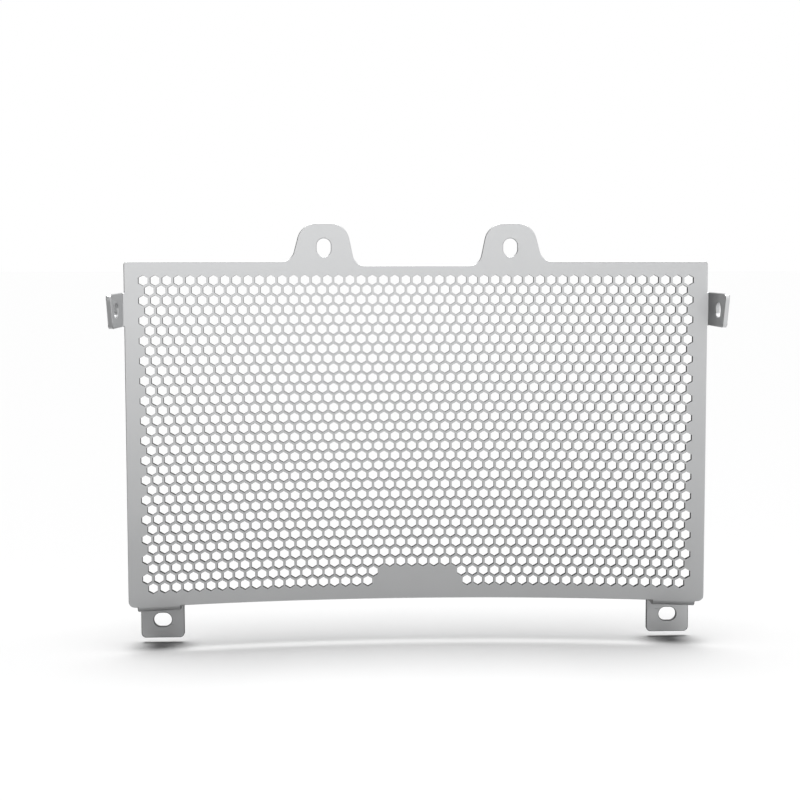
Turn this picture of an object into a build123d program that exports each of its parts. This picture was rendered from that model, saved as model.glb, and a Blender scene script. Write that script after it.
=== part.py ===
"""Motorcycle radiator guard: one perforated aluminium sheet, bent to an arc and folded.

The sheet is bent to a shallow arc about a vertical axis, hollow towards the viewer, in small
steps: flats one mesh pitch wide, with their bend lines through the middles of every other row's
holes. The last flat on each side is wider, because the lower tabs fold off it. The guard is
fixed at six slots: two in lugs on the top edge, two in tabs folded forward from the side edges,
and two in tabs that step back and down from the bottom edge.

Frame, in millimetres: X to the right, Y to the rear, Z up. The origin is halfway between the two
lower slots, on the rear faces of the lower tabs, where they bolt to their brackets.
"""
import os
from math import cos, radians, sin, sqrt, tan

from build123d import *

# Sheet and folds
sheet_t = 3.0
bend_r = 0.3
arc_r = 800.0
tab_corner_r = 3.0

# Panel
panel_w = 358.6
panel_h = 213.7
panel_rise = 13.4
panel_setback = 7.4
corner_r_low = 4.0
corner_r_top = 2.5

# Bolt slots, the same size in all six places
slot_w = 8.8
slot_l = 11.3

# Lugs on the top edge
lug_x = 58.2
lug_h = 23.7
lug_slot_rise = 8.3
lug_reach_out = 20.0
lug_reach_in = 19.3
lug_lean_out = 14.8
lug_lean_in = 11.6
lug_top_r = 12.0
lug_base_r = 7.0
top_step = 2.7

# Tabs folded forward from the side edges
side_tab_h = 20.6
side_tab_drop = 29.6
side_tab_len = 33.9
side_tab_splay = 3.2
side_tab_slant = 17.6
side_tab_overhang = 0.55
side_slot_reach = 20.5

# Tabs that step back and down from the bottom edge
low_tab_x = 161.5
low_tab_w = 27.2
low_tab_drop = 11.5
lip_taper = 1.2

# Mesh of hexagonal holes. The real sheet has 49 columns with 1.4 mm webs. Here each hole stands
# for about four of them, with the same margins, the same bare pad and the same open share.
mesh_columns = 25
mesh_web = 2.8
mesh_row_ratio = 0.8777
mesh_margin_side = 8.5
mesh_margin_top = 8.6
mesh_margin_low = 8.2

# The bare pad in the middle of the lowest rows: its rows, and its reach to each side in pitches
pad_rows = 1
pad_reach = 2

# Levels and places worked out from the sizes above
panel_low = panel_rise
panel_top = panel_low + panel_h
lug_top = panel_top + lug_h
lug_slot_z = panel_top + lug_slot_rise
fold_outer_r = bend_r + sheet_t
shelf_under = panel_low - fold_outer_r
shelf_over = shelf_under + sheet_t
arc_front_r = arc_r - sheet_t / 2
arc_centre_y = -panel_setback - arc_r
side_tab_z = panel_top - side_tab_drop
low_tab_in = low_tab_x - low_tab_w / 2
low_tab_out = low_tab_x + low_tab_w / 2
clear = 10.0
snap = 0.01


def on_arc(x):
    """The point of the panel's front face at a distance x to the right of the middle."""
    return Vector(x, arc_centre_y + sqrt(arc_front_r**2 - x**2), 0)


# Where the side tab's inner face meets the panel's front face, and the tab's direction in plan
splay = radians(side_tab_splay)
fold_x = panel_w / 2 + side_tab_overhang
tab_along = Vector(sin(splay), -cos(splay), 0)
tab_across = Vector(cos(splay), sin(splay), 0)
fold_point = on_arc(fold_x)
side_tab_rise = side_tab_h / 2 * tan(radians(side_tab_slant))
side_tab_len_top = side_tab_len + side_tab_rise
side_tab_len_low = side_tab_len - side_tab_rise

# Tab plane: local X runs along the tab away from the fold, local Y is up
side_tab_plane = Plane(fold_point + Vector(0, 0, side_tab_z), x_dir=tab_along, z_dir=-tab_across)


def at_corner(vertices, x, y):
    """The vertices of a sketch that lie at (x, y) or at its mirror image (-x, y)."""
    return [v for v in vertices if abs(abs(v.X) - abs(x)) < snap and abs(v.Y - y) < snap]


# Mesh layout: rows of hexagons with points up, every other row one hole shorter
mesh_w = panel_w - 2 * mesh_margin_side
mesh_h = panel_h - mesh_margin_top - mesh_margin_low
mesh_pitch = (mesh_w + mesh_web) / mesh_columns
hole_across = mesh_pitch - mesh_web
hole_tall = hole_across / cos(radians(30))
row_pitch = mesh_pitch * mesh_row_ratio
mesh_rows = int((mesh_h - hole_tall + snap) / row_pitch) + 1
mesh_top = panel_top - mesh_margin_top - (mesh_h - hole_tall - (mesh_rows - 1) * row_pitch) / 2
hole_centres = []
for row in range(mesh_rows):
    row_z = mesh_top - hole_tall / 2 - row * row_pitch
    row_columns = mesh_columns - row % 2
    for column in range(row_columns):
        from_middle = column - (row_columns - 1) / 2
        in_pad = row >= mesh_rows - pad_rows and abs(from_middle) < pad_reach
        if not in_pad:
            hole_centres.append((from_middle * mesh_pitch, row_z))

# Flats of the right half in plan, from the middle outwards. A rear corner stands behind its front
# corner by the sheet's thickness on the flat outside it, measured along Y.
flat_count = int((low_tab_in - clear / 2) / mesh_pitch)
front_line = [on_arc(step * mesh_pitch) for step in range(flat_count + 1)] + [fold_point]
rear_line = []
for inner, outer in zip(front_line, front_line[1:]):
    along = (outer - inner).normalized()
    rear_line.append(inner + Vector(0, sheet_t / along.X, 0))

# Directions along and across the last flat, and the corner behind the side tab's fold
flat_along = along
flat_across = Vector(-flat_along.Y, flat_along.X, 0)
fold_mitre = (flat_across + tab_across) * (sheet_t / (1 + flat_across.dot(tab_across)))
fold_back = fold_point + fold_mitre
tab_end = fold_point + tab_along * side_tab_len_top

# Plan of the sheet: the panel and the two side tabs as one ribbon of even thickness
with BuildSketch() as plan:
    with BuildLine():
        Polyline(
            *front_line,
            tab_end,
            tab_end + tab_across * sheet_t,
            fold_back,
            *reversed(rear_line),
            close=True,
        )
    make_face()
    mirror(about=Plane.YZ)
    fillet(at_corner(plan.vertices(), fold_point.X, fold_point.Y), bend_r)
    fillet(at_corner(plan.vertices(), fold_back.X, fold_back.Y), fold_outer_r)

# Front view of the sheet: everything that lies in the arc, and the side tabs' height
lug_out_x = lug_x + lug_reach_out
lug_in_x = lug_x - lug_reach_in
lug_in_base = panel_top - top_step
lug_out_top_x = lug_out_x - lug_h * tan(radians(lug_lean_out))
lug_in_top_x = lug_in_x + (lug_top - lug_in_base) * tan(radians(lug_lean_in))
ear_x = tab_end.X + sheet_t + clear
with BuildSketch(Plane.XZ) as front:
    with BuildLine():
        Polyline(
            (0, panel_low),
            (panel_w / 2, panel_low),
            (panel_w / 2, side_tab_z - side_tab_h / 2),
            (ear_x, side_tab_z - side_tab_h / 2),
            (ear_x, side_tab_z + side_tab_h / 2),
            (panel_w / 2, side_tab_z + side_tab_h / 2),
            (panel_w / 2, panel_top),
            (lug_out_x, panel_top),
            (lug_out_top_x, lug_top),
            (lug_in_top_x, lug_top),
            (lug_in_x, lug_in_base),
            (0, lug_in_base),
            close=True,
        )
    make_face()
    mirror(about=Plane.YZ)
    fillet(at_corner(front.vertices(), panel_w / 2, panel_low), corner_r_low)
    fillet(at_corner(front.vertices(), panel_w / 2, panel_top), corner_r_top)
    for base_x, base_z in ((lug_out_x, panel_top), (lug_in_x, lug_in_base)):
        fillet(at_corner(front.vertices(), base_x, base_z), lug_base_r)
    for top_x in (lug_out_top_x, lug_in_top_x):
        fillet(at_corner(front.vertices(), top_x, lug_top), lug_top_r)
    with Locations((-lug_x, lug_slot_z), (lug_x, lug_slot_z)):
        SlotOverall(slot_l, slot_w, rotation=90, mode=Mode.SUBTRACT)

# Lower tab on the right: the lip folds off the panel's last flat, the plate stands square to Y
lip_out = low_tab_out - lip_taper
shelf_split = -fold_outer_r - bend_r
lip_plane = Plane(fold_point, x_dir=flat_across, z_dir=flat_along)
with BuildPart() as low_tab:
    with BuildSketch(lip_plane) as lip_section:
        with Locations((sheet_t + bend_r, panel_low)):
            Circle(fold_outer_r)
            Circle(bend_r, mode=Mode.SUBTRACT)
            Rectangle(fold_outer_r, fold_outer_r, align=Align.MAX, mode=Mode.INTERSECT)
        with Locations((sheet_t + bend_r, shelf_under)):
            Rectangle(-fold_point.Y, sheet_t, align=Align.MIN)
    extrude(amount=low_tab_in - fold_point.X - clear)
    with BuildSketch() as shelf_plan:
        with BuildLine():
            Polyline(
                (low_tab_in, fold_point.Y),
                (lip_out, fold_point.Y),
                (lip_out, fold_point.Y + 2 * fold_outer_r),
                (low_tab_out, shelf_split),
                (low_tab_in, shelf_split),
                close=True,
            )
        make_face()
    extrude(amount=panel_low, mode=Mode.INTERSECT)
    with BuildSketch(Plane.YZ.offset(low_tab_in)) as plate_section:
        with BuildLine():
            Polyline(
                (shelf_split, shelf_under),
                (shelf_split, shelf_over),
                (0, shelf_over),
                (0, -low_tab_drop),
                (-sheet_t, -low_tab_drop),
                (-sheet_t, shelf_under),
                close=True,
            )
        make_face()
        fillet(at_corner(plate_section.vertices(), -sheet_t, shelf_under), bend_r)
        fillet(at_corner(plate_section.vertices(), 0, shelf_over), fold_outer_r)
    extrude(amount=low_tab_w)
    plate_corners = low_tab.edges().filter_by(Axis.Y).group_by(Axis.Z)[0]
    fillet(plate_corners, tab_corner_r)
    with BuildSketch(Plane.XZ):
        with Locations((low_tab_x, 0)):
            SlotOverall(slot_l, slot_w)
    extrude(amount=sheet_t, mode=Mode.SUBTRACT)

# What is cut from the side tab on the right: all outside its slanted end, and its slot
with BuildPart() as side_tab_cut:
    with BuildSketch(side_tab_plane) as side_tab_waste:
        with BuildLine():
            Polyline(
                (clear, -side_tab_h),
                (side_tab_len_top + clear, -side_tab_h),
                (side_tab_len_top + clear, side_tab_h),
                (clear, side_tab_h),
                close=True,
            )
        make_face()
        with BuildLine():
            Polyline(
                (0, -side_tab_h / 2),
                (side_tab_len_low, -side_tab_h / 2),
                (side_tab_len_top, side_tab_h / 2),
                (0, side_tab_h / 2),
                close=True,
            )
        make_face(mode=Mode.SUBTRACT)
        fillet(at_corner(side_tab_waste.vertices(), side_tab_len_low, -side_tab_h / 2), tab_corner_r)
        fillet(at_corner(side_tab_waste.vertices(), side_tab_len_top, side_tab_h / 2), tab_corner_r)
        with Locations((side_slot_reach, 0)):
            SlotOverall(slot_l, slot_w)
    extrude(amount=sheet_t + bend_r, both=True)

with BuildSketch(Plane.XZ) as mesh:
    with Locations(*hole_centres):
        RegularPolygon(hole_across / 2, 6, major_radius=False, rotation=90)

# The sheet
with BuildPart() as guard_sheet:
    add(plan.sketch)
    extrude(amount=lug_top)
    extrude(front.sketch, amount=side_tab_len_top - fold_point.Y + clear, mode=Mode.INTERSECT)
    add(side_tab_cut.part, mode=Mode.SUBTRACT)
    mirror(side_tab_cut.part, about=Plane.YZ, mode=Mode.SUBTRACT)
    add(low_tab.part)
    mirror(low_tab.part, about=Plane.YZ)
    extrude(mesh.sketch, amount=sheet_t - fold_point.Y, mode=Mode.SUBTRACT)

guard_sheet.part.label = "guard_sheet"
os.makedirs("parts", exist_ok=True)
export_step(guard_sheet.part, "parts/guard_sheet.step")
print("holes in the mesh:", len(hole_centres))
print("solids:", len(guard_sheet.solids()), "volume, cubic mm:", round(guard_sheet.part.volume, 1))
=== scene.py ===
# %% [markdown]
# # A motorcycle radiator guard
#
# The guard is one sheet of aluminium, 3 mm thick. Its outline, six bolt slots and about fifteen
# hundred small hexagons are cut out of flat stock. Then the sheet is rolled to a shallow arc and
# its tabs are folded. This lesson makes it in the same order: a flat blank with all its holes, then
# thickness and fine edges, and the bending last, because flat shapes are the easy ones to draw,
# fill and bevel.

# %% The frame, the units and the tools
from math import asin, cos, pi, radians, sin, sqrt, tan

import bmesh
import bpy
from mathutils import Matrix, Vector


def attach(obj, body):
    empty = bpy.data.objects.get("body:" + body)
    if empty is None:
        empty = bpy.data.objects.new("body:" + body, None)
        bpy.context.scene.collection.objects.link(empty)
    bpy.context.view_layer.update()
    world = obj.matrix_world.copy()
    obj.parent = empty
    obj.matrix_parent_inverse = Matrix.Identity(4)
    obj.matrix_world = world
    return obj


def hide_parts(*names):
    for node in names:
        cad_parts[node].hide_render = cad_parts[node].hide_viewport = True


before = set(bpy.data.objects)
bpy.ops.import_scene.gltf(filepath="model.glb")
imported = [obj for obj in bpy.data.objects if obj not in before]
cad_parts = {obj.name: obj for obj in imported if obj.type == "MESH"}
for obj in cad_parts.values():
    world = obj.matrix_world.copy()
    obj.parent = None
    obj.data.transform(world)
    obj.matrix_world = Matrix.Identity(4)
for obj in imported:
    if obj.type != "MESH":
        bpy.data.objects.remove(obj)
bpy.context.view_layer.update()
MM = 0.001

# %% [markdown]
# ## The sizes
#
# All sizes are in millimetres and become metres only when a point is placed. X runs to the right,
# Y to the rear and Z up. The zero point is halfway between the two lower slots, on the rear faces
# of the lower tabs.

# %% Driving sizes
SHEET_T = 3.0
BEND_R = 0.3
ARC_R = 800.0
SLOT_W = 8.8
SLOT_L = 11.3
TAB_CORNER_R = 3.0

PANEL_HALF_W = 179.3
PANEL_LOW = 13.4
PANEL_H = 213.7
PANEL_SETBACK = 7.4
PANEL_TOP = PANEL_LOW + PANEL_H
CORNER_R_LOW = 4.0
CORNER_R_TOP = 2.5

LUG_X = 58.2
LUG_H = 23.7
LUG_SLOT_RISE = 8.3
LUG_REACH_OUT = 20.0
LUG_REACH_IN = 19.3
LUG_LEAN_OUT = radians(14.8)
LUG_LEAN_IN = radians(11.6)
LUG_TOP_R = 12.0
LUG_BASE_R = 7.0
TOP_STEP = 2.7

SIDE_TAB_H = 20.6
SIDE_TAB_DROP = 29.6
SIDE_TAB_LEN = 33.9
SIDE_TAB_SPLAY = radians(3.2)
SIDE_TAB_SLANT = radians(17.6)
SIDE_TAB_OVERHANG = 0.55
SIDE_SLOT_REACH = 20.5

LOW_TAB_X = 161.5
LOW_TAB_W = 27.2
LOW_TAB_DROP = 11.5
LIP_TAPER = 1.2
print("panel:", 2 * PANEL_HALF_W, "mm wide and", PANEL_H, "mm high")

# %% Sizes of the mesh, measured from hole to hole
COLUMNS = 49
ROWS = 32
PITCH = 7.0
ROW_PITCH = 6.144
WEB = 1.4
TOP_ROW_Z = 215.27
PAD_HALF_W = 24.5
PAD_ROWS = 2
print("hexagons:", round(PITCH - WEB, 2), "mm across the flats")

# %% [markdown]
# ## How the flat blank is bent
#
# The arc and the folds are worked out along the middle of the sheet's thickness. A fold turns
# about a centre on its inner side, so the middle of the sheet runs on a radius of the bend plus
# half the thickness. The length of that middle line is what the flat blank needs at each fold.

# %% Lengths of the folds in the flat blank
HALF_T = SHEET_T / 2
FOLD_R = BEND_R + HALF_T
ARC_CENTRE_Y = -PANEL_SETBACK - ARC_R
FRONT_R = ARC_R - HALF_T

# side tabs: the fold turns from the arc's edge to the tab's splayed direction
SIDE_FOLD_X = PANEL_HALF_W + SIDE_TAB_OVERHANG
EDGE_ANGLE = asin(SIDE_FOLD_X / FRONT_R)
SIDE_TURN = pi / 2 - EDGE_ANGLE - SIDE_TAB_SPLAY
SIDE_TANGENT = BEND_R * tan(SIDE_TURN / 2)
SIDE_START_X = SIDE_FOLD_X - SIDE_TANGENT * cos(EDGE_ANGLE)
SIDE_FOLD_LEN = FOLD_R * SIDE_TURN
SIDE_FLAT_X = SIDE_START_X + SIDE_FOLD_LEN - SIDE_TANGENT
SIDE_TAB_Z = PANEL_TOP - SIDE_TAB_DROP

# lower tabs: the first fold turns the lip back, the second turns the plate down
LOW_FOLD_LEN = FOLD_R * pi / 2
SHELF_END_Y = -SHEET_T - BEND_R
SHELF_LEN = 18.0
LOW_FLAT_Z = PANEL_LOW - 2 * LOW_FOLD_LEN - SHELF_LEN
PLATE_TOP_Z = PANEL_LOW - FOLD_R - FOLD_R
LOW_TAB_IN = LOW_TAB_X - LOW_TAB_W / 2
LOW_TAB_OUT = LOW_TAB_X + LOW_TAB_W / 2
LIP_OUT = LOW_TAB_OUT - LIP_TAPER


def flat_z(z):
    """Height in the flat blank of a point at height z on the lower tab's plate."""
    return LOW_FLAT_Z - (PLATE_TOP_Z - z)


print("side tab starts at", round(SIDE_START_X, 2), "and its fold takes", round(SIDE_FOLD_LEN, 2), "mm")

# %% [markdown]
# ## Selecting by place
#
# Operators act on what is selected. These helpers empty the selection, or select the vertices,
# edges or faces that a rule picks by its place.

# %% Helpers for selections and objects
SNAP = 0.02 * MM
SIDES = (1, -1)
SELECT_MODES = {"verts": "VERT", "edges": "EDGE", "faces": "FACE"}


def on_blank(x, z):
    """The place of a point of the flat blank that is given in millimetres."""
    return Vector((x * MM, 0, z * MM))


def deselect_everything():
    """Leave object mode's selection empty."""
    if bpy.context.object and bpy.context.object.mode != "OBJECT":
        bpy.ops.object.mode_set(mode="OBJECT")
    bpy.ops.object.select_all(action="DESELECT")


def make_active(piece):
    """Select one object alone and make it the active one."""
    deselect_everything()
    piece.select_set(True)
    bpy.context.view_layer.objects.active = piece


def select_parts(kind, rule):
    """In edit mode, select the vertices, edges or faces for which the rule is true."""
    mesh = bmesh.from_edit_mesh(bpy.context.object.data)
    bpy.ops.mesh.select_mode(type=SELECT_MODES[kind])
    bpy.ops.mesh.select_all(action="DESELECT")
    chosen = [part for part in getattr(mesh, kind) if rule(part)]
    for part in chosen:
        part.select_set(True)
    mesh.select_flush_mode()
    bmesh.update_edit_mesh(bpy.context.object.data)
    return len(chosen)


def apply_modifiers(piece):
    """Apply the object's modifiers in their order."""
    make_active(piece)
    for modifier in list(piece.modifiers):
        bpy.ops.object.modifier_apply(modifier=modifier.name)


print("points closer than", SNAP / MM, "mm count as one")

# %% [markdown]
# ## The mesh of hexagons
#
# Each hole sits in a cell that is a hexagon too. One cell is drawn once: a filled six-sided
# circle, inset by half a web, so that the inner face is the hole and the ring around it is metal.
# Array modifiers then lay the cells out in rows. Every other row is shifted by half a pitch and
# is one hole shorter, so the two kinds of row are two arrays, joined and welded.

# %% One cell and the rows made of it


def cell_rows(name, columns, rows, top_z):
    """A block of cells: rows of hexagons two row pitches apart, centred on X = 0."""
    deselect_everything()
    first_x = -(columns - 1) / 2 * PITCH
    bpy.ops.mesh.primitive_circle_add(
        vertices=6, radius=PITCH / sqrt(3) * MM, fill_type="NGON",
        location=on_blank(first_x, top_z), rotation=(pi / 2, 0, 0))
    block = bpy.context.object
    block.name = name
    bpy.ops.object.transform_apply(location=True, rotation=True, scale=True)
    bpy.ops.object.mode_set(mode="EDIT")
    bpy.ops.mesh.select_mode(type="FACE")
    bpy.ops.mesh.select_all(action="SELECT")
    stretch = ROW_PITCH / (PITCH * sqrt(3) / 2)
    bpy.ops.transform.resize(value=(1, 1, stretch), center_override=on_blank(first_x, top_z))
    bpy.ops.mesh.inset(thickness=WEB / 2 * MM)
    bpy.ops.object.mode_set(mode="OBJECT")
    for count, step in ((columns, on_blank(PITCH, 0)), (rows, on_blank(0, -2 * ROW_PITCH))):
        array = block.modifiers.new("rows", "ARRAY")
        array.count = count
        array.use_relative_offset = False
        array.use_constant_offset = True
        array.constant_offset_displace = step
        array.use_merge_vertices = True
        array.merge_threshold = SNAP
    apply_modifiers(block)
    return block


even_rows = cell_rows("perforated_sheet", COLUMNS, ROWS // 2, TOP_ROW_Z)
odd_rows = cell_rows("odd_rows", COLUMNS - 1, ROWS // 2, TOP_ROW_Z - ROW_PITCH)
print("faces in the two kinds of row:", len(even_rows.data.polygons), "and", len(odd_rows.data.polygons))

# %% Weld the two blocks into one
deselect_everything()
odd_rows.select_set(True)
even_rows.select_set(True)
bpy.context.view_layer.objects.active = even_rows
bpy.ops.object.join()
sheet = bpy.context.object
bpy.ops.object.mode_set(mode="EDIT")
bpy.ops.mesh.select_all(action="SELECT")
bpy.ops.mesh.remove_doubles(threshold=SNAP)
bpy.ops.object.mode_set(mode="OBJECT")
print("faces in the cells:", len(sheet.data.polygons))

# %% [markdown]
# ## The outline of the blank
#
# The outline is drawn as one would draw it by hand: a single point is extruded from corner to
# corner and the last edge closes it. The corners are then rounded, one radius at a time, with the
# bevel tool set to vertices.

# %% Corners of the right half, from the bottom middle round to the top middle
LUG_OUT_X = LUG_X + LUG_REACH_OUT
LUG_IN_X = LUG_X - LUG_REACH_IN
LUG_TOP = PANEL_TOP + LUG_H
LUG_IN_BASE = PANEL_TOP - TOP_STEP
LUG_OUT_TOP_X = LUG_OUT_X - LUG_H * tan(LUG_LEAN_OUT)
LUG_IN_TOP_X = LUG_IN_X + (LUG_TOP - LUG_IN_BASE) * tan(LUG_LEAN_IN)
SIDE_RISE = SIDE_TAB_H / 2 * tan(SIDE_TAB_SLANT)

right_corners = [
    (LOW_TAB_IN, PANEL_LOW, 0),
    (LOW_TAB_IN, flat_z(-LOW_TAB_DROP), TAB_CORNER_R),
    (LOW_TAB_OUT, flat_z(-LOW_TAB_DROP), TAB_CORNER_R),
    (LOW_TAB_OUT, LOW_FLAT_Z + LOW_FOLD_LEN, 0),
    (LIP_OUT, PANEL_LOW - LOW_FOLD_LEN, 0),
    (LIP_OUT, PANEL_LOW, 0),
    (PANEL_HALF_W, PANEL_LOW, CORNER_R_LOW),
    (PANEL_HALF_W, SIDE_TAB_Z - SIDE_TAB_H / 2, 0),
    (SIDE_FLAT_X + SIDE_TAB_LEN - SIDE_RISE, SIDE_TAB_Z - SIDE_TAB_H / 2, TAB_CORNER_R),
    (SIDE_FLAT_X + SIDE_TAB_LEN + SIDE_RISE, SIDE_TAB_Z + SIDE_TAB_H / 2, TAB_CORNER_R),
    (PANEL_HALF_W, SIDE_TAB_Z + SIDE_TAB_H / 2, 0),
    (PANEL_HALF_W, PANEL_TOP, CORNER_R_TOP),
    (LUG_OUT_X, PANEL_TOP, LUG_BASE_R),
    (LUG_OUT_TOP_X, LUG_TOP, LUG_TOP_R),
    (LUG_IN_TOP_X, LUG_TOP, LUG_TOP_R),
    (LUG_IN_X, LUG_IN_BASE, LUG_BASE_R),
]
corners = right_corners + [(-x, z, radius) for x, z, radius in reversed(right_corners)]
print("corners:", len(corners))

# %% Extrude a point round the corners, and round them
CORNER_STEPS = 6


def corner_offset(index):
    """How far from a corner its rounding starts, for the corner's radius and angle."""
    here = Vector(corners[index][:2])
    before = (Vector(corners[index - 1][:2]) - here).normalized()
    after = (Vector(corners[(index + 1) % len(corners)][:2]) - here).normalized()
    return corners[index][2] / tan(before.angle(after) / 2)


deselect_everything()
bpy.ops.mesh.primitive_plane_add(size=MM, location=(0, 0, 0), rotation=(pi / 2, 0, 0))
outline = bpy.context.object
outline.name = "outline"
bpy.ops.object.transform_apply(location=True, rotation=True, scale=True)
bpy.ops.object.mode_set(mode="EDIT")
bpy.ops.mesh.select_mode(type="VERT")
bpy.ops.mesh.select_all(action="SELECT")
bpy.ops.mesh.merge(type="CENTER")
bpy.ops.transform.translate(value=on_blank(*corners[0][:2]))
for (x0, z0, _), (x1, z1, _) in zip(corners, corners[1:]):
    bpy.ops.mesh.extrude_region_move(TRANSFORM_OT_translate={"value": on_blank(x1 - x0, z1 - z0)})
ends = [on_blank(x, z) for x, z, _ in (corners[0], corners[-1])]
select_parts("verts", lambda v: any((v.co - end).length < SNAP for end in ends))
bpy.ops.mesh.edge_face_add()
for index, (x, z, radius) in enumerate(corners):
    if radius:
        corner = on_blank(x, z)
        select_parts("verts", lambda v: (v.co - corner).length < SNAP)
        bpy.ops.mesh.bevel(affect="VERTICES", offset=corner_offset(index) * MM, segments=CORNER_STEPS)
bpy.ops.object.mode_set(mode="OBJECT")
print("points on the outline:", len(outline.data.vertices))

# %% [markdown]
# ## Slots and long edges
#
# A bolt slot is a circle whose two halves are pulled apart along its length. The circle is turned
# by half a step first, so that each point belongs to one half. The slots of the lugs run upright,
# those of the tabs along the blank. Then long edges are divided, so that they can follow the arc.

# %% Six slots, all alike
ROUND_STEPS = 32
IN_CIRCLE = SLOT_W / 2 * MM + SNAP
UPRIGHT = Vector((0, 0, 1))
LEVEL = Vector((1, 0, 0))

slots = [
    (LUG_X, PANEL_TOP + LUG_SLOT_RISE, UPRIGHT),
    (LOW_TAB_X, flat_z(0), LEVEL),
    (SIDE_FLAT_X + SIDE_SLOT_REACH, SIDE_TAB_Z, LEVEL),
]
bpy.ops.object.mode_set(mode="EDIT")
for x, z, direction in slots + [(-x, z, direction) for x, z, direction in slots]:
    centre = on_blank(x, z)
    bpy.ops.mesh.select_all(action="DESELECT")
    bpy.ops.mesh.primitive_circle_add(
        vertices=ROUND_STEPS, radius=SLOT_W / 2 * MM, location=centre, rotation=(pi / 2, pi / ROUND_STEPS, 0))
    for side in SIDES:
        select_parts("verts", lambda v: (
            (v.co - centre).length < IN_CIRCLE and side * (v.co - centre).dot(direction) > 0))
        bpy.ops.transform.translate(value=side * (SLOT_L - SLOT_W) / 2 * MM * direction)
print("slots:", 2 * len(slots))

# %% Divide the long straight edges
LONGEST_EDGE = PITCH / 2

long_edges = []
for edge in bmesh.from_edit_mesh(outline.data).edges:
    pieces_wanted = edge.calc_length() / (LONGEST_EDGE * MM)
    if pieces_wanted > 2:
        long_edges.append(((edge.verts[0].co + edge.verts[1].co) / 2, round(pieces_wanted)))
for middle, parts_wanted in long_edges:
    select_parts("edges", lambda e: ((e.verts[0].co + e.verts[1].co) / 2 - middle).length < SNAP)
    bpy.ops.mesh.subdivide(number_cuts=parts_wanted - 1)
bpy.ops.object.mode_set(mode="OBJECT")
print("points on the outline and the slots:", len(outline.data.vertices))

# %% [markdown]
# ## Filling the border
#
# The outline, the slots and the rim of the cells now lie in one plane. The fill tool closes the
# space between them with triangles. Then the inner face of each cell is deleted, which opens the
# holes, except in the plain pad at the bottom. The pad is counted in rows of cells, and its top
# lies halfway between two rows.

# %% Join, fill and open the holes
PAD_TOP = (TOP_ROW_Z - (ROWS - PAD_ROWS - 0.5) * ROW_PITCH) * MM

deselect_everything()
outline.select_set(True)
sheet.select_set(True)
bpy.context.view_layer.objects.active = sheet
bpy.ops.object.join()
bpy.ops.object.mode_set(mode="EDIT")
select_parts("edges", lambda e: len(e.link_faces) < 2)
bpy.ops.mesh.fill(use_beauty=True)


def is_hole(face):
    """True for the inner face of a cell that isn't in the pad."""
    middle = face.calc_center_median()
    in_pad = middle.z < PAD_TOP and abs(middle.x) < (PAD_HALF_W + PITCH / 4) * MM
    return len(face.verts) == 6 and not in_pad


hole_count = select_parts("faces", is_hole)
bpy.ops.mesh.delete(type="ONLY_FACE")
bpy.ops.mesh.select_all(action="SELECT")
bpy.ops.mesh.normals_make_consistent(inside=False)
print("holes in the mesh:", hole_count)

# %% [markdown]
# ## Lines for the folds
#
# A fold needs rows of points across it, or it would stay a crease. The bisect tool cuts such rows
# through the faces that lie beyond each fold line. The lower tabs are also cut the other way, so
# that their lips follow the arc.

# %% Bisect the tabs
FOLD_STEPS = 8
SHELF_CUTS = 6

for step in range(FOLD_STEPS + 1):
    share = step / FOLD_STEPS
    for fold_start in (PANEL_LOW, PANEL_LOW - LOW_FOLD_LEN - SHELF_LEN):
        z = (fold_start - share * LOW_FOLD_LEN) * MM
        select_parts("faces", lambda f: min(v.co.z for v in f.verts) < z - SNAP)
        bpy.ops.mesh.bisect(plane_co=(0, 0, z), plane_no=(0, 0, 1))
    for side in SIDES:
        x = (SIDE_START_X + share * SIDE_FOLD_LEN) * MM
        select_parts("faces", lambda f: max(side * v.co.x for v in f.verts) > x + SNAP)
        bpy.ops.mesh.bisect(plane_co=(side * x, 0, 0), plane_no=(1, 0, 0))
for cut in range(1, SHELF_CUTS):
    for side in SIDES:
        x = side * (LOW_TAB_IN + cut / SHELF_CUTS * (LIP_OUT - LOW_TAB_IN)) * MM
        select_parts("faces", lambda f: max(v.co.z for v in f.verts) < PANEL_LOW * MM + SNAP)
        bpy.ops.mesh.bisect(plane_co=(x, 0, 0), plane_no=(1, 0, 0))
bpy.ops.mesh.select_all(action="SELECT")
bpy.ops.mesh.remove_doubles(threshold=SNAP / 4)
bpy.ops.object.mode_set(mode="OBJECT")
print("faces in the flat blank:", len(sheet.data.polygons))

# %% [markdown]
# ## Thickness and edges
#
# Solidify gives the blank its 3 mm, half to each side. The real edges are tumbled after cutting,
# so they are not knife sharp. The outline and the slots lose 0.4 mm, which draws a thin dark or
# bright line round the sheet. The holes are too small for the stones to reach into and lose less.
# Bevel weights say which edge gets how much, and only square edges get a weight.

# %% Give the blank its thickness
solidify = sheet.modifiers.new("thickness", "SOLIDIFY")
solidify.thickness = SHEET_T * MM
solidify.offset = 0
apply_modifiers(sheet)
bpy.ops.object.mode_set(mode="EDIT")
bpy.ops.mesh.select_all(action="SELECT")
bpy.ops.mesh.normals_make_consistent(inside=False)
bpy.ops.object.mode_set(mode="OBJECT")
print("faces in the thick blank:", len(sheet.data.polygons))

# %% Weigh the edges and bevel them
EDGE_BEVEL = 0.4
HOLE_BEVEL = 0.08
SQUARE_EDGE = radians(75)
BORDER = 5.0


def in_mesh_area(place):
    """True for a place on the flat blank that lies among the hexagons, well inside the border."""
    x, z = abs(place.x) / MM, place.z / MM
    return x < PANEL_HALF_W - BORDER and PANEL_LOW + BORDER < z < PANEL_TOP - BORDER


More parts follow.
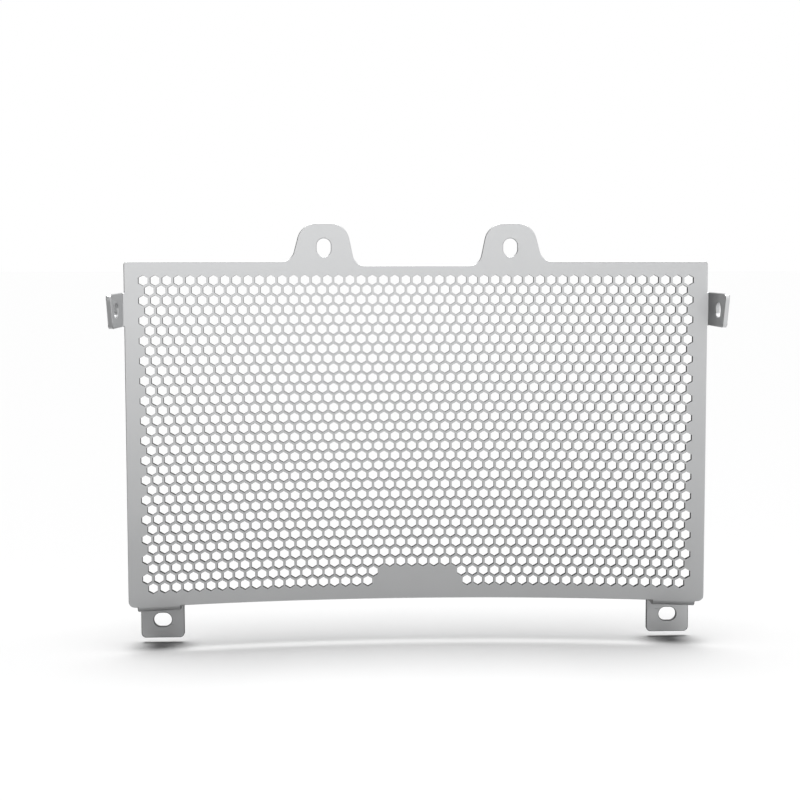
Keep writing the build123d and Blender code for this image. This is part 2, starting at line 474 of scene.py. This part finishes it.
weighed = bmesh.new()
weighed.from_mesh(sheet.data)
weight = weighed.edges.layers.float.new("bevel_weight_edge")
for edge in weighed.edges:
    if edge.calc_face_angle(0) > SQUARE_EDGE:
        edge[weight] = HOLE_BEVEL / EDGE_BEVEL if in_mesh_area(edge.verts[0].co) else 1
weighed.to_mesh(sheet.data)
weighed.free()
edge_bevel = sheet.modifiers.new("edges", "BEVEL")
edge_bevel.width = EDGE_BEVEL * MM
edge_bevel.segments = 1
edge_bevel.limit_method = "WEIGHT"
edge_bevel.use_clamp_overlap = False
apply_modifiers(sheet)
sheet.data.calc_loop_triangles()
print("triangles in the sheet:", len(sheet.data.loop_triangles))

# %% [markdown]
# ## Four finishes, two of them with painted shade
#
# The faces are blasted and anodised. The outline and the bolt slots are milled, which leaves a
# slightly brighter edge. The walls of the hexagons are painted near black: painted shade inside the
# holes. The edges of the lower tabs, under the panel, are painted a darker grey between the two:
# painted shade under the panel. While the blank is flat, all these are easy to tell
# apart: a face points along Y, a cut edge doesn't, the hexagons lie inside the panel's border, and
# the lower tabs below the panel.

# %% Mark the cut edges and the walls of the hexagons
FACE_SLOT, EDGE_SLOT, WALL_SLOT, TAB_EDGE_SHADE_SLOT = range(4)
FACE_NORMAL_Y = 0.8

for polygon in sheet.data.polygons:
    if abs(polygon.normal.y) > FACE_NORMAL_Y:
        polygon.material_index = FACE_SLOT
    # Walls of the hexagons: the near-black painted shade inside the holes.
    elif in_mesh_area(polygon.center):
        polygon.material_index = WALL_SLOT
    # Cut edges of the lower tabs: the darker grey painted shade under the panel.
    elif polygon.center.z < PANEL_LOW * MM:
        polygon.material_index = TAB_EDGE_SHADE_SLOT
    else:
        polygon.material_index = EDGE_SLOT
marked = [polygon.material_index for polygon in sheet.data.polygons]
print("faces, edges, walls and rough edges:", [marked.count(slot) for slot in range(4)])

# %% [markdown]
# ## Rolling and folding
#
# Each point of the blank knows its place along the sheet and its depth in the thickness. The
# functions below move it to where rolling and folding take it. On the panel, the depth stays
# along Y, because the holes are cut straight through from the front.

# %% Where a point of the blank goes


def on_panel(x, depth, z):
    """A point of the rolled panel. The slope of the arc makes the sheet thicker along Y."""
    slope_cos = sqrt(1 - (x / ARC_R) ** 2)
    return x, ARC_CENTRE_Y + ARC_R * slope_cos + depth / slope_cos, z


def on_low_tab(x, depth, z):
    """A point of a lower tab: lip, shelf, rear fold and plate, one after the other."""
    slope_cos = sqrt(1 - (x / ARC_R) ** 2)
    panel_y = ARC_CENTRE_Y + ARC_R * slope_cos
    shelf_start_y = panel_y + FOLD_R / slope_cos
    reach = PANEL_LOW - z
    if reach < LOW_FOLD_LEN:
        turn = reach / FOLD_R
        radius = FOLD_R - depth
        return x, shelf_start_y - radius * cos(turn) / slope_cos, PANEL_LOW - radius * sin(turn)
    reach -= LOW_FOLD_LEN
    if reach < SHELF_LEN:
        y = shelf_start_y + (SHELF_END_Y - shelf_start_y) * reach / SHELF_LEN
        return x, y, PANEL_LOW - FOLD_R + depth
    reach -= SHELF_LEN
    radius = FOLD_R + depth
    if reach < LOW_FOLD_LEN:
        turn = reach / FOLD_R
        return x, SHELF_END_Y + radius * sin(turn), PLATE_TOP_Z + radius * cos(turn)
    return x, SHELF_END_Y + radius, PLATE_TOP_Z - (reach - LOW_FOLD_LEN)


edge_along = Vector((cos(EDGE_ANGLE), -sin(EDGE_ANGLE)))
edge_front = Vector((-sin(EDGE_ANGLE), -cos(EDGE_ANGLE)))
fold_point = Vector((SIDE_FOLD_X, ARC_CENTRE_Y + FRONT_R * cos(EDGE_ANGLE)))
side_fold_centre = fold_point - edge_along * SIDE_TANGENT + edge_front * BEND_R
tab_along = Vector((sin(SIDE_TAB_SPLAY), -cos(SIDE_TAB_SPLAY)))


def on_side_tab(x, depth, z):
    """A point of the right side tab: a fold about an upright line, then straight forward."""
    reach = x - SIDE_START_X
    turn = min(reach / FOLD_R, SIDE_TURN)
    outward = edge_along * sin(turn) - edge_front * cos(turn)
    place = side_fold_centre + outward * (FOLD_R + depth) + tab_along * max(reach - SIDE_FOLD_LEN, 0)
    return place.x, place.y, z


def bent(point):
    """Where rolling and folding take a point of the flat blank."""
    x, depth, z = (value / MM for value in point)
    side = 1 if x > 0 else -1
    if side * x > SIDE_START_X - SNAP / MM:
        x, y, z = on_side_tab(side * x, depth, z)
    elif z < PANEL_LOW - SNAP / MM:
        x, y, z = on_low_tab(side * x, depth, z)
    else:
        x, y, z = on_panel(side * x, depth, z)
    return side * x * MM, y * MM, z * MM


# %% Bend the blank
SMOOTH_BELOW = radians(30)

for vertex in sheet.data.vertices:
    vertex.co = bent(vertex.co)
sheet.data.update()
make_active(sheet)
bpy.ops.object.shade_smooth_by_angle(angle=SMOOTH_BELOW)
print("the sheet reaches", [round(value / MM, 2) for value in sheet.dimensions])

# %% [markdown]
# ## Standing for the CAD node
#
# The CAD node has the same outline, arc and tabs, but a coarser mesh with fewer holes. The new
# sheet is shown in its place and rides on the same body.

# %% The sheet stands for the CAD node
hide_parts("guard_sheet")
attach(sheet, "root")
print("shown in place of the CAD node:", sheet.name)

# %% [markdown]
# ## The finish
#
# Bead blasting leaves aluminium evenly matt, with a grain too fine to see from a step away, and
# anodising seals it. Two noises do that: a fine one for the grain and a slow one for the faint
# clouds that any blasted sheet has. All four finishes use them, so they are a node group.

# %% A node group for blasted metal


def grain_group():
    """A shader node group with a fine grain and slow clouds, both from 0 to 1."""
    group = bpy.data.node_groups.new("blasted_grain", "ShaderNodeTree")
    for name in ("Grain Scale", "Cloud Scale"):
        group.interface.new_socket(name, in_out="INPUT", socket_type="NodeSocketFloat")
    for name in ("Grain", "Clouds"):
        group.interface.new_socket(name, in_out="OUTPUT", socket_type="NodeSocketFloat")
    nodes, links = group.nodes, group.links
    inputs = nodes.new("NodeGroupInput")
    outputs = nodes.new("NodeGroupOutput")
    place = nodes.new("ShaderNodeTexCoord")
    noises = (("Grain Scale", "Grain", 2), ("Cloud Scale", "Clouds", 4))
    for index, (source, result, detail) in enumerate(noises):
        noise = nodes.new("ShaderNodeTexNoise")
        noise.inputs["Detail"].default_value = detail
        noise.location = (0, -260 * index)
        links.new(place.outputs["Object"], noise.inputs["Vector"])
        links.new(inputs.outputs[source], noise.inputs["Scale"])
        links.new(noise.outputs["Fac"], outputs.inputs[result])
    inputs.location = (-300, -100)
    place.location = (-300, -300)
    outputs.location = (300, -100)
    return group


blasted_grain = grain_group()
print("node group:", blasted_grain.name, "with", len(blasted_grain.nodes), "nodes")

# %% [markdown]
# ## The materials
#
# The clouds move the colour and the roughness a little, and the grain goes to a bump. Clean metal
# only reflects. The hole walls, painted near black as shade inside the holes, reflect next to
# nothing, and the lower tabs' edges, painted grey as shade under the panel, half as much as clean
# metal, so these two have their own Metallic and Specular values.

# %% A metal with grain and clouds
CLOUD_SCALE = 25
GLOSS_SPREAD = 0.03


def metal(name, dark, light, roughness, grain_scale, grain_height, metallic=1, specular=0.5):
    """Aluminium with clouds between two linear colours and a grain with a height in millimetres."""
    material = bpy.data.materials.new(name)
    material.use_nodes = True
    nodes, links = material.node_tree.nodes, material.node_tree.links
    shader = nodes["Principled BSDF"]
    shader.inputs["Metallic"].default_value = metallic
    shader.inputs["Specular IOR Level"].default_value = specular
    grain = nodes.new("ShaderNodeGroup")
    grain.node_tree = blasted_grain
    grain.inputs["Grain Scale"].default_value = grain_scale
    grain.inputs["Cloud Scale"].default_value = CLOUD_SCALE
    grain.location = (-700, 0)
    tone = nodes.new("ShaderNodeMix")
    tone.data_type = "RGBA"
    tone.inputs["A"].default_value = (*dark, 1)
    tone.inputs["B"].default_value = (*light, 1)
    tone.location = (-400, 200)
    links.new(grain.outputs["Clouds"], tone.inputs["Factor"])
    links.new(tone.outputs["Result"], shader.inputs["Base Color"])
    gloss = nodes.new("ShaderNodeMapRange")
    gloss.inputs["To Min"].default_value = roughness - GLOSS_SPREAD
    gloss.inputs["To Max"].default_value = roughness + GLOSS_SPREAD
    gloss.location = (-400, -100)
    links.new(grain.outputs["Clouds"], gloss.inputs["Value"])
    links.new(gloss.outputs["Result"], shader.inputs["Roughness"])
    bump = nodes.new("ShaderNodeBump")
    bump.inputs["Distance"].default_value = grain_height * MM
    bump.location = (-400, -400)
    links.new(grain.outputs["Grain"], bump.inputs["Height"])
    links.new(bump.outputs["Normal"], shader.inputs["Normal"])
    return material


# %% Faces, cut edges, and the painted shade of hole walls and lower-tab edges
FINE_GRAIN = 1800
COARSE_GRAIN = 900
# Low specular for the two painted-shade finishes.
SHADE_SPECULAR = 0.1

for finish in (
    metal("blasted_aluminium", (0.58, 0.585, 0.59), (0.62, 0.625, 0.63), 0.45, FINE_GRAIN, 0.02),
    metal("milled_aluminium", (0.58, 0.585, 0.59), (0.64, 0.645, 0.65), 0.4, COARSE_GRAIN, 0.04),
    # Near-black painted shade for the walls of the hexagons.
    metal("hole_walls_painted_shade", (0.015, 0.015, 0.016), (0.03, 0.03, 0.031), 0.7, COARSE_GRAIN, 0.04, 0, SHADE_SPECULAR),
    # Darker grey painted shade for the cut edges of the lower tabs.
    metal("tab_edges_painted_shade", (0.25, 0.25, 0.252), (0.3, 0.3, 0.302), 0.7, COARSE_GRAIN, 0.04, 0.5, SHADE_SPECULAR),
):
    sheet.data.materials.append(finish)
print("materials:", [material.name for material in sheet.data.materials])

# %% [markdown]
# ## The floor
#
# A product like this is shot on a white sweep, under a large soft light. The floor is matt, and it
# is white only for light that comes to it straight. Light Path's Diffuse Depth makes it black for
# light that has bounced off it before, so it doesn't light itself by way of the guard, and the
# shadows where the tabs come close to it stay dark.

# %% The floor
FLOOR_GAP = 3.3
FLOOR_Z = -LOW_TAB_DROP - FLOOR_GAP
FLOOR_SIZE = 40
FLOOR_WHITE = 0.9

deselect_everything()
bpy.ops.mesh.primitive_plane_add(size=FLOOR_SIZE, location=(0, 0, FLOOR_Z * MM))
floor_plane = bpy.context.object
floor_plane.name = "floor"
floor_paint = bpy.data.materials.new("white_sweep")
floor_paint.use_nodes = True
floor_nodes, floor_links = floor_paint.node_tree.nodes, floor_paint.node_tree.links
floor_shader = floor_nodes["Principled BSDF"]
floor_path = floor_nodes.new("ShaderNodeLightPath")
floor_path.location = (-600, 0)
floor_tone = floor_nodes.new("ShaderNodeMapRange")
floor_tone.inputs["To Min"].default_value = FLOOR_WHITE
floor_tone.inputs["To Max"].default_value = 0
floor_tone.location = (-300, 0)
floor_links.new(floor_path.outputs["Diffuse Depth"], floor_tone.inputs["Value"])
floor_links.new(floor_tone.outputs["Result"], floor_shader.inputs["Base Color"])
floor_shader.inputs["Roughness"].default_value = 0.9
floor_shader.inputs["Specular IOR Level"].default_value = 0
floor_plane.data.materials.append(floor_paint)
print("floor at", FLOOR_Z, "mm")

# %% [markdown]
# ## The world
#
# The background is white to the camera, and in what metal and glass show of it. As light it is
# nearly off, so that the lamps alone set the tones and the shadows.

# %% White to the eye and in reflections, nearly black as light
AMBIENT = 0.03

world = bpy.data.worlds.new("studio")
bpy.context.scene.world = world
world.use_nodes = True
world_nodes, world_links = world.node_tree.nodes, world.node_tree.links
background = world_nodes["Background"]
seen = world_nodes.new("ShaderNodeLightPath")
seen.location = (-700, 200)
shown = seen.outputs["Is Camera Ray"]
for step, ray in enumerate(("Is Transmission Ray", "Is Glossy Ray")):
    either = world_nodes.new("ShaderNodeMath")
    either.operation = "MAXIMUM"
    either.location = (-500 + 200 * step, 200)
    world_links.new(shown, either.inputs[0])
    world_links.new(seen.outputs[ray], either.inputs[1])
    shown = either.outputs["Value"]
level = world_nodes.new("ShaderNodeMapRange")
level.inputs["To Min"].default_value = AMBIENT
level.inputs["To Max"].default_value = 1
level.location = (-100, 200)
world_links.new(shown, level.inputs["Value"])
world_links.new(level.outputs["Result"], background.inputs["Strength"])
background.inputs["Color"].default_value = (1, 1, 1, 1)
print("world nodes:", len(world_nodes))

# %% [markdown]
# ## The lamps
#
# Most of the light comes from a sun straight overhead. Its wide angle makes it as soft as a large
# cloth stretched over the table. A small soft box in front lifts the face of the panel.

# %% Two lamps
SUN_STRENGTH = 3.35
SUN_ANGLE = radians(50)
FRONT_WATTS = 1.3
FRONT_SIZE = 500
FRONT_PLACE = (150, -1300, 560)
PANEL_MIDDLE = (0, 0, 120)


def softbox(name, place, aim, size, power):
    """A square area lamp of a size, at a place and aimed at a point, all in millimetres."""
    deselect_everything()
    bpy.ops.object.light_add(type="AREA", location=[value * MM for value in place])
    lamp = bpy.context.object
    lamp.name = name
    direction = (Vector(aim) - Vector(place)) * MM
    lamp.rotation_euler = direction.to_track_quat("-Z", "Y").to_euler()
    lamp.data.shape = "SQUARE"
    lamp.data.size = size * MM
    lamp.data.energy = power
    return lamp


front = softbox("front_light", FRONT_PLACE, PANEL_MIDDLE, FRONT_SIZE, FRONT_WATTS)
bpy.ops.object.light_add(type="SUN", location=(0, 0, 2), rotation=(0, 0, 0))
overhead = bpy.context.object
overhead.name = "overhead_light"
overhead.data.energy = SUN_STRENGTH
overhead.data.angle = SUN_ANGLE
print("lamps:", front.name, "and", overhead.name)

# %% [markdown]
# ## Cards for the reflections
#
# Metal shows what stands around it, and in an all-white room it would look flat. Photographers put
# cards beside the object. A grey one on the floor makes the panel darker towards the bottom, and a
# nearly black one on the left gives the folded side tabs their different tones. Only glossy
# reflections see the cards, so they neither show in the picture nor keep light from the guard.

# %% Two cards
CARD_LOW = FLOOR_Z + 1
FLOOR_CARD_X = (-900, 190)
FLOOR_CARD_Y = (-750, -14)
FLOOR_CARD_GREY = 0.35
LEFT_CARD_ENDS = ((-1200, 300), (-500, -1150))
LEFT_CARD_TOP = 1300
LEFT_CARD_GREY = 0.02


def card(name, corners, grey):
    """A flat card through four corners in millimetres, seen in glossy reflections alone."""
    deselect_everything()
    bpy.ops.mesh.primitive_plane_add(size=2)
    piece = bpy.context.object
    piece.name = name
    for vertex, corner in zip(piece.data.vertices, corners):
        vertex.co = Vector(corner) * MM
    piece.visible_camera = False
    piece.visible_diffuse = False
    piece.visible_transmission = False
    piece.visible_shadow = False
    paint = bpy.data.materials.new(name)
    paint.use_nodes = True
    shader = paint.node_tree.nodes["Principled BSDF"]
    shader.inputs["Base Color"].default_value = (grey, grey, grey, 1)
    shader.inputs["Specular IOR Level"].default_value = 0
    piece.data.materials.append(paint)


floor_corners = [(x, y, CARD_LOW) for y in FLOOR_CARD_Y for x in FLOOR_CARD_X]
left_corners = [(x, y, z) for z in (CARD_LOW, LEFT_CARD_TOP) for x, y in LEFT_CARD_ENDS]
card("floor_card", floor_corners, FLOOR_CARD_GREY)
card("left_card", left_corners, LEFT_CARD_GREY)
print("the cards stand at", CARD_LOW, "mm")

# %% [markdown]
# ## The camera
#
# The camera stands a metre away, a little left of the middle and level with the top of the panel,
# and looks slightly down and to the right. A small lens shift puts the guard where the photograph
# has it.

# %% Place the camera
CAMERA_PLACE = (-42.41, -1024.15, 232.41)
CAMERA_YAW = -0.05408
CAMERA_PITCH = -0.08080
FOCAL_PX = 1620.92
CENTRE_PX = (437.21, 383.57)
FRAME_PX = 800
SENSOR_MM = 36

deselect_everything()
bpy.ops.object.camera_add()
camera = bpy.context.object
camera.name = "camera"
turn_level = Matrix.Rotation(CAMERA_YAW, 4, "Z") @ Matrix.Rotation(CAMERA_PITCH, 4, "X")
camera.matrix_world = (
    Matrix.Translation([value * MM for value in CAMERA_PLACE])
    @ turn_level @ Matrix.Rotation(pi / 2, 4, "X"))
camera.data.sensor_width = SENSOR_MM
camera.data.lens = FOCAL_PX / FRAME_PX * SENSOR_MM
camera.data.shift_x = 0.5 - CENTRE_PX[0] / FRAME_PX
camera.data.shift_y = CENTRE_PX[1] / FRAME_PX - 0.5
camera.data.clip_start = 0.01
bpy.context.scene.camera = camera
bpy.context.scene.view_settings.view_transform = "Standard"
print("lens:", round(camera.data.lens, 1), "mm")

# %% [markdown]
# ## The size
#
# The dressed model must fill the same box as the CAD model.

# %% Bring the scene up to date
bpy.context.view_layer.update()
